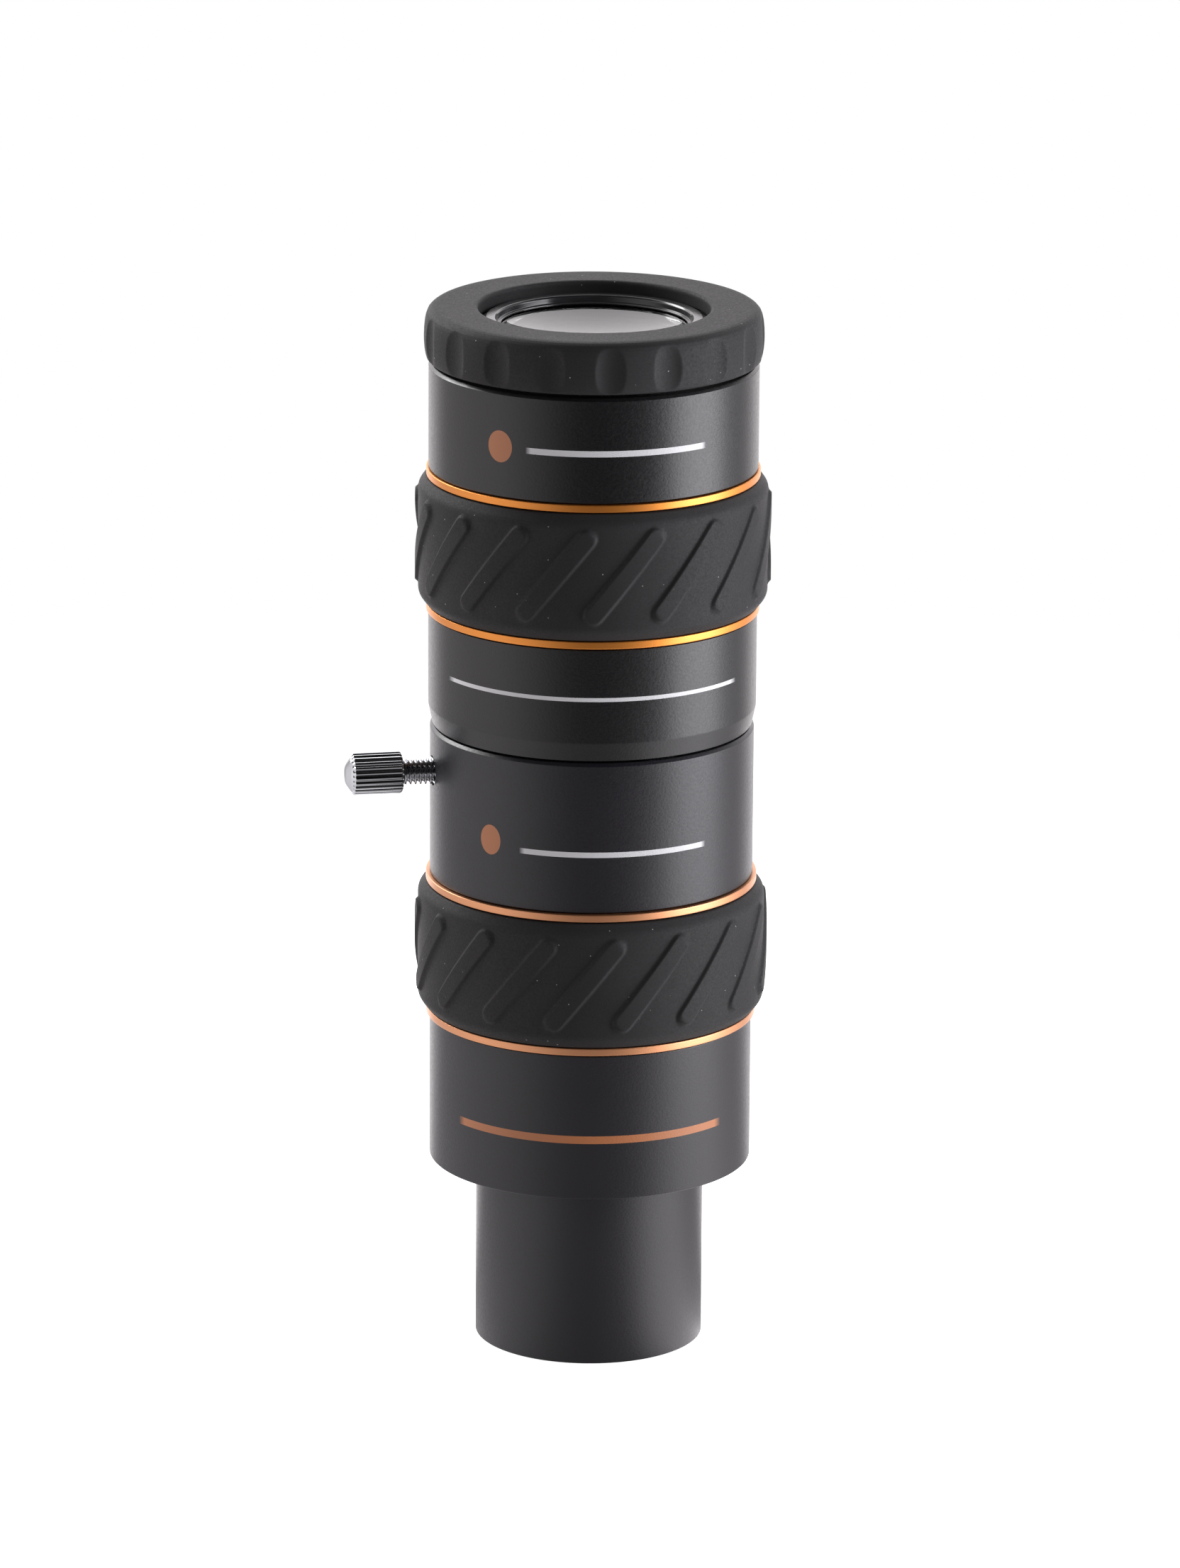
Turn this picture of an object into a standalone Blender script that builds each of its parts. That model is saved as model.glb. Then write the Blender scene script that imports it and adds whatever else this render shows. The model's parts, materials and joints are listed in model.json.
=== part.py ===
"""Barlow lens with an eyepiece seated in its socket, built as separate turned, moulded and ground pieces.

The optical axis is Z. The origin is on that axis, in the plane of the nose's open end, and the part
stands on that end. -Y is the front and the thumbscrew points left. Radii and heights are in
millimetres, and each turned piece is one (radius, height) outline spun round the axis.
"""

import math

import bmesh
import bpy
from mathutils import Matrix, Vector

MM = 0.001
MERGE = 1e-6  # metres: joins the seam of a turned shape
OUTER_SEGMENTS = 32  # round the pieces that show
INNER_SEGMENTS = 20  # round the pieces inside
LENS_SEGMENTS = 20
TRAVEL_GAP = 0.3  # between pieces that move past each other, and between a lens and its seat
JOINT_GAP = 0.15  # between turned pieces that are screwed or pushed together

# Barlow housing
NOSE_RADIUS = 15.86  # the 31.75 mm push fit, less its tolerance
NOSE_LENGTH = 26.2
NOSE_BORE = 14.3
NOSE_SEAT_DEPTH = 1.2  # how far the nose is let into the housing above it
BODY_RADIUS = 22.4
LOWER_BODY_TOP = 46.85
NECK_RADIUS = 21.2  # the housing under the rings and the grip
SPIGOT_RADIUS = 20.0  # the thread that joins the two halves of the housing
SOCKET_RADIUS = 15.98
SOCKET_FLOOR = 60.9
SEAT_HEIGHT = 88.5  # the rim that the eyepiece's shoulder sits on
RING_GROOVE_RADIUS = 17.3

# Trim and grips, the same on both halves
TRIM_RADIUS = 22.95
TRIM_HEIGHT = 1.05
SLEEVE_BORE = NECK_RADIUS + 0.25
GRIP_RADIUS = 24.05
RIB_RADIUS = 24.5
RIB_COUNT = 16
RIB_HALF_WIDTH = 1.25
RIB_SLANT = 360 / RIB_COUNT  # degrees from a rib's foot to its head
RIB_FOOT_HEIGHT = 3.1  # centre of a rib's lower end, above the grip's lower edge
RIB_HEAD_HEIGHT = 14.6
LOWER_GRIP_RIB_ANGLE = 10.5
UPPER_GRIP_RIB_ANGLE = 0.0

# Thumbscrew, an M4 screw that points left and a little to the front
SCREW_HEIGHT = 82.4
SCREW_ANGLE = 190.9  # degrees from +X, anticlockwise from above
SCREW_THREAD_RADIUS = 1.92
SCREW_PITCH = 0.7
SCREW_HOLE_RADIUS = 2.25
KNURL_RADIUS = 2.95
KNURL_COUNT = 24
KNURL_START = 26.76  # distances from the optical axis, along the screw
KNURL_END = 33.69
DOME_HEIGHT = 1.25

# Eyepiece
EYEPIECE_RADIUS = 22.65
EYEPIECE_FOOT = 88.8
EYEPIECE_WAIST = 104.55
UPPER_BODY_FOOT = 125.0
UPPER_BODY_TOP = 139.55
BARREL_FOOT = 61.5
OPTICS_BORE = 13.9
LENS_RADIUS = OPTICS_BORE - TRAVEL_GAP

# Twist-up eyecup
EYECUP_TOP = 147.2
EYECUP_FOOT = 140.1
EYECUP_BULGE = 23.29
EYECUP_HOLE = 15.9
EYECUP_TRAVEL = 6.0
FLUTE_COUNT = 18
FLUTE_ANGLE = 5.5
FLUTE_DEPTH = 0.5
FLUTE_RADIUS = 5.5
KEY_HALF_WIDTH = 1.0


def clear_scene():
    for obj in list(bpy.data.objects):
        bpy.data.objects.remove(obj)


def finish(name, colour, metallic, roughness):
    """A Principled material. The colour is linear RGB."""
    made = bpy.data.materials.new(name)
    made.use_nodes = True
    shader = made.node_tree.nodes["Principled BSDF"]
    shader.inputs["Base Color"].default_value = (*colour, 1)
    shader.inputs["Metallic"].default_value = metallic
    shader.inputs["Roughness"].default_value = roughness
    made.diffuse_color = (*colour, 1)
    return made


def add_object(name, shape, material):
    """Turns a bmesh into a named, smooth-shaded object."""
    bmesh.ops.recalc_face_normals(shape, faces=shape.faces)
    mesh = bpy.data.meshes.new(name)
    shape.to_mesh(mesh)
    shape.free()
    if material:
        mesh.materials.append(material)
    mesh.shade_smooth()
    mesh.set_sharp_from_angle(angle=math.radians(30))
    made = bpy.data.objects.new(name, mesh)
    bpy.context.scene.collection.objects.link(made)
    return made


def add_tool(name, shape):
    """A shape that only cuts or joins another, so that it isn't a piece itself."""
    made = add_object(name, shape, None)
    made.hide_render = True
    made.display_type = "WIRE"
    return made


def turned_shape(outline, segments):
    """The outline spun round Z. One that starts on the axis is a solid, any other is a ring."""
    shape = bmesh.new()
    corners = [shape.verts.new((radius * MM, 0, height * MM)) for radius, height in outline]
    ends = corners[1:] if outline[0][0] == 0 else corners[1:] + corners[:1]
    edges = [shape.edges.new(pair) for pair in zip(corners, ends)]
    bmesh.ops.spin(
        shape, geom=corners + edges, axis=(0, 0, 1), angle=math.tau, steps=segments, use_merge=True
    )
    bmesh.ops.remove_doubles(shape, verts=shape.verts, dist=MERGE)
    return shape


def turned(name, outline, material, segments=OUTER_SEGMENTS):
    return add_object(name, turned_shape(outline, segments), material)


def washer(name, inner, outer, foot, top, material, segments=INNER_SEGMENTS):
    """A plain ring: spacers, stops and retaining rings."""
    outline = [(inner, foot), (outer, foot), (outer, top), (inner, top)]
    return turned(name, outline, material, segments)


def lens(name, radius, foot, top, foot_bulge, top_bulge, material):
    """A ground lens. foot and top are its rim's heights, and a negative bulge is a hollow face."""
    shares = (0, 0.5, 1)
    upper = [(radius * s, top + top_bulge * (1 - s * s)) for s in shares]
    lower = [(radius * s, foot - foot_bulge * (1 - s * s)) for s in reversed(shares)]
    return turned(name, upper + lower, material, LENS_SEGMENTS)


def box_shape(low, high):
    """A box between two corners, in millimetres."""
    shape = bmesh.new()
    middle = [(a + b) / 2 * MM for a, b in zip(low, high)]
    sides = [(b - a) * MM for a, b in zip(low, high)]
    place = Matrix.Translation(middle) @ Matrix.Diagonal((*sides, 1))
    bmesh.ops.create_cube(shape, size=1, matrix=place)
    return shape


def append_shape(target, extra):
    """Adds one bmesh's faces to another, and frees the first."""
    mesh = bpy.data.meshes.new("joined")
    extra.to_mesh(mesh)
    extra.free()
    target.from_mesh(mesh)
    bpy.data.meshes.remove(mesh)


def use_tool(obj, tool, operation):
    modifier = obj.modifiers.new(operation.title(), "BOOLEAN")
    modifier.operation = operation
    modifier.object = tool


def on_cylinder(radius, degrees, height):
    """A point at an angle that runs from the front (-Y) towards +X."""
    angle = math.radians(degrees)
    return Vector((radius * math.sin(angle), -radius * math.cos(angle), height)) * MM


def rib_shape(foot_angle, foot_height, inner, outer):
    """One slanting rib: a bar with round ends, wrapped round the grip from its foot up to its head."""
    rise = RIB_HEAD_HEIGHT - RIB_FOOT_HEIGHT
    run = math.radians(RIB_SLANT) * outer
    length = math.hypot(rise, run)
    along = Vector((run, rise)) / length
    across = Vector((-along.y, along.x))
    end = RIB_HALF_WIDTH
    stations = [(-end, 0.4), (0, 1), (length / 2, 1), (length, 1), (length + end, 0.4)]
    shape = bmesh.new()
    loops = []
    for distance, width in stations:
        loop = []
        for side, radius in ((-1, inner), (1, inner), (1, outer), (-1, outer)):
            spot = along * distance + across * (side * width * RIB_HALF_WIDTH)
            angle = foot_angle + math.degrees(spot.x / outer)
            loop.append(shape.verts.new(on_cylinder(radius, angle, foot_height + spot.y)))
        loops.append(loop)
    for before, after in zip(loops, loops[1:]):
        for i in range(4):
            j = (i + 1) % 4
            shape.faces.new((before[i], before[j], after[j], after[i]))
    shape.faces.new(loops[0])
    shape.faces.new(loops[-1])
    return shape


def grip(name, foot, top, first_rib, material):
    """A moulded rubber sleeve with rounded ends and slanting ribs."""
    outline = [
        (SLEEVE_BORE, foot),
        (23.0, foot),
        (GRIP_RADIUS, foot + 1.2),
        (GRIP_RADIUS, top - 1.2),
        (23.0, top),
        (SLEEVE_BORE, top),
    ]
    sleeve = turned(name, outline, material)
    ribs = bmesh.new()
    for i in range(RIB_COUNT):
        foot_angle = first_rib + i * 360 / RIB_COUNT
        append_shape(ribs, rib_shape(foot_angle, foot + RIB_FOOT_HEIGHT, 23.4, RIB_RADIUS))
    use_tool(sleeve, add_tool(name + "_ribs", ribs), "UNION")
    return sleeve


def trim_ring(name, foot, material):
    """An anodised band between a grip and the body beside it."""
    return washer(name, SLEEVE_BORE, TRIM_RADIUS, foot, foot + TRIM_HEIGHT, material, OUTER_SEGMENTS)


def build_nose(black, glass):
    """The push-fit nose, with the three-element negative cell that is screwed up inside it."""
    seat = NOSE_LENGTH + NOSE_SEAT_DEPTH - JOINT_GAP
    outline = [
        (NOSE_BORE, 0),
        (NOSE_RADIUS - 0.2, 0),
        (NOSE_RADIUS, 0.2),
        (NOSE_RADIUS, seat),
        (14.9, seat),
        (14.9, 33.5),
        (12.8, 33.5),
        (12.8, 22.3),
        (NOSE_BORE, 22.3),
    ]
    turned("nose_barrel", outline, black)

    bore = 12.4
    rim = bore - TRAVEL_GAP
    cell = [(bore, 6.3), (14.0, 6.3), (14.0, 22.0), (11.4, 22.0), (11.4, 20.3), (bore, 20.3)]
    turned("lens_cell", cell, black, INNER_SEGMENTS)
    retainer = washer("cell_retaining_ring", 10.9, rim, 7.0, 8.6, black)
    slots = box_shape((-13.5, -0.6, 6.8), (13.5, 0.6, 7.6))
    use_tool(retainer, add_tool("spanner_slots", slots), "DIFFERENCE")
    lens("crown_lens", rim, 8.9, 12.4, -1.2, -1.0, glass)
    lens("flint_lens", rim, 12.7, 14.6, 1.0, -0.5, glass)
    washer("cell_spacer_ring", 11.0, rim, 14.9, 16.6, black)
    lens("rear_lens", rim, 16.9, 20.0, -0.7, 0.5, glass)


def build_housing(black, orange, rubber, inside_black):
    """The two halves of the housing, the bands and grip between them, and the glare baffle inside."""
    seat = NOSE_RADIUS + JOINT_GAP
    lower = [
        (seat, NOSE_LENGTH),
        (BODY_RADIUS - 0.3, NOSE_LENGTH),
        (BODY_RADIUS, NOSE_LENGTH + 0.3),
        (BODY_RADIUS, LOWER_BODY_TOP),
        (SPIGOT_RADIUS + 0.3, LOWER_BODY_TOP),
        (SPIGOT_RADIUS + 0.3, 34.0),
        (15.2, 34.0),
        (15.2, NOSE_LENGTH + NOSE_SEAT_DEPTH),
        (seat, NOSE_LENGTH + NOSE_SEAT_DEPTH),
    ]
    turned("lower_body", lower, black)

    step = LOWER_BODY_TOP + JOINT_GAP
    shoulder = 67.35
    upper = [
        (16.8, 36.0),
        (SPIGOT_RADIUS, 36.0),
        (SPIGOT_RADIUS, step),
        (NECK_RADIUS, step),
        (NECK_RADIUS, shoulder),
        (BODY_RADIUS, shoulder),
        (BODY_RADIUS, SEAT_HEIGHT - 0.4),
        (BODY_RADIUS - 0.4, SEAT_HEIGHT),
        (SOCKET_RADIUS, SEAT_HEIGHT),
        (SOCKET_RADIUS, SCREW_HEIGHT + 3.2),
        (RING_GROOVE_RADIUS, SCREW_HEIGHT + 3.2),
        (RING_GROOVE_RADIUS, SCREW_HEIGHT - 3.2),
        (SOCKET_RADIUS, SCREW_HEIGHT - 3.2),
        (SOCKET_RADIUS, SOCKET_FLOOR),
        (14.2, SOCKET_FLOOR),
        (14.2, 58.5),
        (16.8, 58.5),
    ]
    body = turned("upper_body", upper, black)
    hole = turned_shape([(0, 16.5), (SCREW_HOLE_RADIUS, 16.5), (SCREW_HOLE_RADIUS, 24), (0, 24)], 16)
    drill = add_tool("screw_hole", hole)
    point_outwards(drill)
    use_tool(body, drill, "DIFFERENCE")

    baffle = [(10.2, 38.0), (10.2, 37.2), (16.5, 37.2), (16.5, 40.2), (15.7, 40.2), (15.7, 38.0)]
    turned("glare_baffle", baffle, inside_black, INNER_SEGMENTS)

    lower_trim = LOWER_BODY_TOP + 0.2
    grip_foot = lower_trim + TRIM_HEIGHT + JOINT_GAP
    upper_trim = shoulder - JOINT_GAP - TRIM_HEIGHT
    trim_ring("lower_trim_ring", lower_trim, orange)
    grip("lower_grip", grip_foot, upper_trim - JOINT_GAP, LOWER_GRIP_RIB_ANGLE, rubber)
    trim_ring("upper_trim_ring", upper_trim, orange)


def build_compression_ring(brass):
    """The split brass band that the screw squeezes onto the eyepiece's barrel."""
    foot, top = SCREW_HEIGHT - 2.8, SCREW_HEIGHT + 2.8
    ring = washer("compression_ring", 16.08, 16.85, foot, top, brass, OUTER_SEGMENTS)
    split = box_shape((14.5, -1.2, foot - 1), (18.5, 1.2, top + 1))
    use_tool(ring, add_tool("ring_split", split), "DIFFERENCE")


def point_outwards(obj):
    """Lays a piece that was turned round Z along the screw's own axis."""
    angle = math.radians(SCREW_ANGLE)
    outwards = Vector((math.cos(angle), math.sin(angle), 0))
    obj.location = (0, 0, SCREW_HEIGHT * MM)
    obj.rotation_mode = "QUATERNION"
    obj.rotation_quaternion = outwards.to_track_quat("Z", "Y")


def build_thumbscrew(chrome, brass):
    """The knurled screw and the brass pad on its tip, which slides but doesn't turn."""
    tip = 18.4
    root = SCREW_THREAD_RADIUS - 0.38
    thread = [(0, tip), (root, tip)]
    for i in range(int((KNURL_START - tip) / SCREW_PITCH)):
        foot = tip + i * SCREW_PITCH
        thread += [(SCREW_THREAD_RADIUS, foot + SCREW_PITCH / 2), (root, foot + SCREW_PITCH)]
    neck = [(root, KNURL_START + 0.4), (0, KNURL_START + 0.4)]
    shank = turned_shape(thread + neck, 12)

    head = bmesh.new()
    shares = ((KNURL_START, 1), (KNURL_END, 1), (KNURL_END + 0.45 * DOME_HEIGHT, 0.78))
    shares += ((KNURL_END + 0.85 * DOME_HEIGHT, 0.42),)
    loops = []
    for distance, share in shares:
        loop = []
        for i in range(2 * KNURL_COUNT):
            groove = 0.22 if i % 2 and share == 1 else 0
            radius = KNURL_RADIUS * share - groove
            turn = Matrix.Rotation(i * math.pi / KNURL_COUNT, 3, "Z")
            loop.append(head.verts.new(turn @ Vector((radius, 0, distance)) * MM))
        loops.append(loop)
    for before, after in zip(loops, loops[1:]):
        for i in range(2 * KNURL_COUNT):
            j = (i + 1) % (2 * KNURL_COUNT)
            head.faces.new((before[i], before[j], after[j], after[i]))
    head.faces.new(loops[0])
    apex = head.verts.new((0, 0, (KNURL_END + DOME_HEIGHT) * MM))
    for i in range(2 * KNURL_COUNT):
        head.faces.new((loops[-1][i], loops[-1][(i + 1) % (2 * KNURL_COUNT)], apex))

    screw = add_object("thumbscrew", head, chrome)
    point_outwards(screw)
    stud = add_tool("screw_thread", shank)
    point_outwards(stud)
    use_tool(screw, stud, "UNION")

    pad_radius = 1.4
    pad_end = tip - TRAVEL_GAP
    pad = [(0, 17.15), (pad_radius, 17.15), (pad_radius, pad_end), (0, pad_end)]
    point_outwards(turned("thumbscrew_tip", pad, brass, 16))


def build_eyepiece_body(black, orange, rubber, chrome, inside_black, glass):
    """The eyepiece's barrel, its two body halves, the bands and the grip."""
    barrel = [
        (NOSE_BORE, BARREL_FOOT),
        (NOSE_RADIUS - 0.3, BARREL_FOOT),
        (NOSE_RADIUS, BARREL_FOOT + 0.3),
        (NOSE_RADIUS, SCREW_HEIGHT - 4.0),
        (NOSE_RADIUS - 0.5, SCREW_HEIGHT - 3.0),
        (NOSE_RADIUS - 0.5, SCREW_HEIGHT + 3.0),
        (NOSE_RADIUS, SCREW_HEIGHT + 4.0),
        (NOSE_RADIUS, EYEPIECE_FOOT - JOINT_GAP),
        (14.9, EYEPIECE_FOOT - JOINT_GAP),
        (14.9, 95.0),
        (13.0, 95.0),
        (13.0, 69.8),
        (NOSE_BORE, 69.8),
    ]
    turned("eyepiece_barrel", barrel, chrome)
    washer("field_lens_ring", 12.6, 14.0, 64.6, 66.2, inside_black)
    lens("field_lens", 14.0, 66.5, 69.5, 0.0, -0.9, glass)
    washer("field_stop", 10.4, 12.7, 86.4, 87.4, inside_black)

    spigot_top = 128.6
    lower = [
        (15.2, EYEPIECE_FOOT),
        (21.9, EYEPIECE_FOOT),
        (22.15, EYEPIECE_FOOT + 0.25),
        (EYEPIECE_RADIUS, 91.4),
        (EYEPIECE_RADIUS, EYEPIECE_WAIST),
        (NECK_RADIUS, EYEPIECE_WAIST),
        (NECK_RADIUS, UPPER_BODY_FOOT - JOINT_GAP),
        (20.3, UPPER_BODY_FOOT - JOINT_GAP),
        (20.3, spigot_top),
        (17.0, spigot_top),
        (17.0, 96.0),
        (15.2, 96.0),
    ]
    turned("eyepiece_lower_body", lower, black)

    lower_trim = EYEPIECE_WAIST + 0.2
    grip_foot = lower_trim + TRIM_HEIGHT + JOINT_GAP
    upper_trim = UPPER_BODY_FOOT - JOINT_GAP - TRIM_HEIGHT
    trim_ring("eyepiece_lower_trim_ring", lower_trim, orange)
    grip("eyepiece_grip", grip_foot, upper_trim - JOINT_GAP, UPPER_GRIP_RIB_ANGLE, rubber)
    trim_ring("eyepiece_upper_trim_ring", upper_trim, orange)

    upper = [
        (20.6, UPPER_BODY_FOOT),
        (EYEPIECE_RADIUS, UPPER_BODY_FOOT),
        (EYEPIECE_RADIUS, UPPER_BODY_TOP - 0.4),
        (EYEPIECE_RADIUS - 0.4, UPPER_BODY_TOP),
        (21.1, UPPER_BODY_TOP),
        (21.1, 128.8),
        (20.6, 128.8),
    ]
    turned("eyepiece_upper_body", upper, black)


def build_eyepiece_optics(inside_black, glass):
    """The inner lens tube with its eye lens, two cemented pairs and the spacers between them."""
    tube = [
        (12.4, 96.3),
        (16.7, 96.3),
        (16.7, 101.0),
        (16.0, 101.0),
        (16.0, 144.9),
        (15.2, 144.9),
        (15.2, 144.05),
        (OPTICS_BORE, 144.05),
        (OPTICS_BORE, 108.0),
        (12.4, 108.0),
    ]
    turned("optics_tube", tube, inside_black, INNER_SEGMENTS)
    retainer = [(12.95, 144.4), (14.9, 144.4), (14.9, 145.7), (13.35, 145.7), (12.95, 145.3)]
    turned("eye_lens_ring", retainer, inside_black)

    lens("eye_lens", LENS_RADIUS, 140.5, 143.9, 0.8, 1.6, glass)
    washer("upper_lens_spacer", 12.4, LENS_RADIUS, 137.0, 140.2, inside_black)
    lens("upper_pair_crown", LENS_RADIUS, 132.6, 136.7, 1.5, 1.5, glass)
    lens("upper_pair_flint", LENS_RADIUS, 129.2, 132.3, -0.6, -1.5, glass)
    washer("middle_lens_spacer", 12.4, LENS_RADIUS, 122.5, 128.9, inside_black)
    lens("lower_pair_flint", LENS_RADIUS, 119.1, 122.2, -1.4, -0.6, glass)
    lens("lower_pair_crown", LENS_RADIUS, 114.6, 118.8, 1.2, 1.4, glass)
    washer("lower_lens_spacer", 12.4, LENS_RADIUS, 108.3, 114.3, inside_black)


def build_eyecup(inside_black, rubber):
    """The twist-up eyecup: guide sleeve, keyed lift ring, rising sleeve and rubber cup."""
    guide_outer = 18.9
    key_height = 1.2
    key_foot = 130.3
    guide = turned(
        "eyecup_guide_sleeve",
        [(17.2, 129.0), (20.8, 129.0), (20.8, 130.0), (guide_outer, 130.0), (guide_outer, 144.0), (17.2, 144.0)],
        inside_black,
        INNER_SEGMENTS,
    )
    slot_half = KEY_HALF_WIDTH + TRAVEL_GAP
    slot_top = key_foot + key_height + EYECUP_TRAVEL + 0.7
    slots = box_shape((-20, -slot_half, 130.1), (20, slot_half, slot_top))
    use_tool(guide, add_tool("key_slots", slots), "DIFFERENCE")

    key_top = key_foot + key_height
    ring = washer("eyecup_key_ring", 19.3, 20.7, key_foot, key_top, inside_black)
    keys = bmesh.new()
    for low, high in ((-20.0, -17.9), (17.9, 20.0)):
        inset = 0.1
        corner = (low, -KEY_HALF_WIDTH, key_foot + inset)
        append_shape(keys, box_shape(corner, (high, KEY_HALF_WIDTH, key_top - inset)))
    use_tool(ring, add_tool("keys", keys), "UNION")

    sleeve = [(19.3, 131.8), (20.7, 131.8), (20.7, 144.9), (16.4, 144.9), (16.4, 144.3), (19.3, 144.3)]
    turned("eyecup_sleeve", sleeve, inside_black, INNER_SEGMENTS)

    cup = [
        (21.0, EYECUP_FOOT),
        (22.45, EYECUP_FOOT),
        (22.85, EYECUP_FOOT + 0.6),
        (23.2, EYECUP_FOOT + 1.9),
        (EYECUP_BULGE, EYECUP_FOOT + 3.3),
        (23.15, EYECUP_FOOT + 5.0),
        (22.75, EYECUP_FOOT + 6.4),
        (22.0, EYECUP_TOP),
        (EYECUP_HOLE + 0.4, EYECUP_TOP),
        (EYECUP_HOLE, EYECUP_TOP - 0.4),
        (EYECUP_HOLE, 145.2),
        (21.0, 145.2),
    ]
    rubber_cup = turned("eyecup", cup, rubber, 2 * FLUTE_COUNT)
    flutes = bmesh.new()
    distance = EYECUP_BULGE - FLUTE_DEPTH + FLUTE_RADIUS
    low, high = EYECUP_FOOT - 1, EYECUP_TOP + 1
    for i in range(FLUTE_COUNT):
        rod = turned_shape([(0, low), (FLUTE_RADIUS, low), (FLUTE_RADIUS, high), (0, high)], 16)
        spot = on_cylinder(distance, FLUTE_ANGLE + i * 360 / FLUTE_COUNT, 0)
        bmesh.ops.translate(rod, verts=rod.verts, vec=spot)
        append_shape(flutes, rod)
    use_tool(rubber_cup, add_tool("flute_rods", flutes), "DIFFERENCE")


def main():
    clear_scene()
    black = finish("black_anodised", (0.012, 0.012, 0.014), 0.6, 0.42)
    orange = finish("orange_anodised", (0.62, 0.22, 0.045), 0.9, 0.28)
    rubber = finish("black_rubber", (0.014, 0.014, 0.014), 0.0, 0.75)
    chrome = finish("chrome", (0.75, 0.75, 0.77), 1.0, 0.12)
    brass = finish("brass", (0.7, 0.5, 0.2), 1.0, 0.3)
    inside_black = finish("inside_black", (0.008, 0.008, 0.008), 0.2, 0.6)
    glass = finish("coated_glass", (0.55, 0.62, 0.58), 0.0, 0.05)
    build_nose(black, glass)
    build_housing(black, orange, rubber, inside_black)
    build_compression_ring(brass)
    build_thumbscrew(chrome, brass)
    build_eyepiece_body(black, orange, rubber, chrome, inside_black, glass)
    build_eyepiece_optics(inside_black, glass)
    build_eyecup(inside_black, rubber)


main()
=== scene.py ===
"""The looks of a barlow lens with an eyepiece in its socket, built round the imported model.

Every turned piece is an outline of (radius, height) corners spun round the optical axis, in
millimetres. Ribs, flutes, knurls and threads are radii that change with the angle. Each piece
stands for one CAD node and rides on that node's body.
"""

import json
import math

import bmesh
import bpy
from mathutils import Matrix, Vector


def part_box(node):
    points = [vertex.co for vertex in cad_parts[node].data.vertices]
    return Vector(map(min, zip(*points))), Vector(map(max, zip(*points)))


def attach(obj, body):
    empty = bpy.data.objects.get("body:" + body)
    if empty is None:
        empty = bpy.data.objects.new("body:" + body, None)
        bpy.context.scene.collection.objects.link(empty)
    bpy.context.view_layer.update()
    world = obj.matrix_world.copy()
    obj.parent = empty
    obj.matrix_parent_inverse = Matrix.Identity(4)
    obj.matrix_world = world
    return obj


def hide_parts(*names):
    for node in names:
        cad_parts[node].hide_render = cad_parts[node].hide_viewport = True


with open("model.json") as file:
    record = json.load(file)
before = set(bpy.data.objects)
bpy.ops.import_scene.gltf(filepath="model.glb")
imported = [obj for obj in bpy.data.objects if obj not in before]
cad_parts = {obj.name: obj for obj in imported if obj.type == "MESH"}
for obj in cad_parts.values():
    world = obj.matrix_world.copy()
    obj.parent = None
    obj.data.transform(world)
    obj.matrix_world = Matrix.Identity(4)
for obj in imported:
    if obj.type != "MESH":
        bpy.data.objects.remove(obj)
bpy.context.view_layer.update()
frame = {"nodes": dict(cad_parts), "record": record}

MM = 0.001
ROUND = 192  # columns round a large turned piece
SMALL_ROUND = 96
SHARP_ANGLE = math.radians(38)
FILLET_STEPS = 5

# Camera: where it stands, its tilt down, its lean and its lens
CAMERA_PLACE = (-0.000215, -1.2353, 0.4282)
CAMERA_TILT = math.radians(15.768)
CAMERA_LEAN = math.radians(0.35)
CAMERA_LENS = 212.73

# Bodies
NECK = 21.2  # under the bands and the grips
BAND_BORE = 21.45  # of the bands and the grips
BODY_CHAMFER = 0.42  # round a body's top

# Grips
RIB_COUNT = 16
RIB_RISE = 0.446
RIB_FOOT = 3.85  # centres of a rib's round ends, above the grip's lower edge
RIB_HEAD = 14.4
RIB_SLANT = math.radians(1.9)  # for each millimetre of height
RIB_HALF_WIDTH = 1.55
RIB_SHOULDER = 0.52  # width of the slope from a rib's crest down to the sleeve
RIB_FOOT_ANGLES = {"eyepiece_grip": 0.4, "lower_grip": 10.6}

# Eyecup
FLUTE_COUNT = 18
FLUTE_ANGLE = 5.5
FLUTE_DEPTH = 0.5
FLUTE_RADIUS = 5.5

# Thumbscrew
SCREW_ANGLE = math.radians(190.9)
SCREW_HEIGHT = 82.4
SCREW_PITCH = 0.7
SCREW_THREAD_RADIUS = 1.92
SCREW_THREAD_DEPTH = 0.42
KNURL_COUNT = 24
KNURL_DEPTH = 0.24
KNURL_START = 26.76
KNURL_END = 33.69
SCREW_TOP = 34.9

# The nose's seat in the housing, and the filter thread inside the nose
NOSE_SEAT_DEPTH = 1.2
FILTER_PITCH = 0.6
FILTER_DEPTH = 0.3

# Finishes
MARK_FADE = 0.03  # how far a printed mark's edge fades either way, as a share of its size
DUST_SCALE = 700.0  # Voronoi cells to the metre
NOISE_RANGE = (0.3, 0.7)  # where most of a noise's values lie

# What the room and the floor send towards the part, as pairs of the angle from the front towards the right
# and the radiance in W/m2/sr. ROOM_STRENGTH is above every level, because a ramp's colours end at 1.
ROOM_STRENGTH = 3.5
ROOM_LEVELS = (
    (-180, 1.8), (-150, 2.0), (-132, 0.6), (-110, 1.0), (-90, 1.1), (-70, 1.4), (-50, 1.0), (-35, 0.65),
    (-15, 0.08), (0, 0.02), (55, 0.03), (95, 0.4), (110, 0.9), (130, 0.5), (150, 2.0), (180, 1.8),
)
FLOOR_LEVELS = (
    (-180, 1.4), (-150, 3.2), (-132, 0.8), (-110, 1.0), (-70, 1.2), (-45, 1.0), (-25, 0.6), (0, 0.4),
    (30, 0.5), (58, 2.5), (86, 2.5), (104, 1.2), (130, 0.6), (150, 2.7), (180, 1.4),
)
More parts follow.
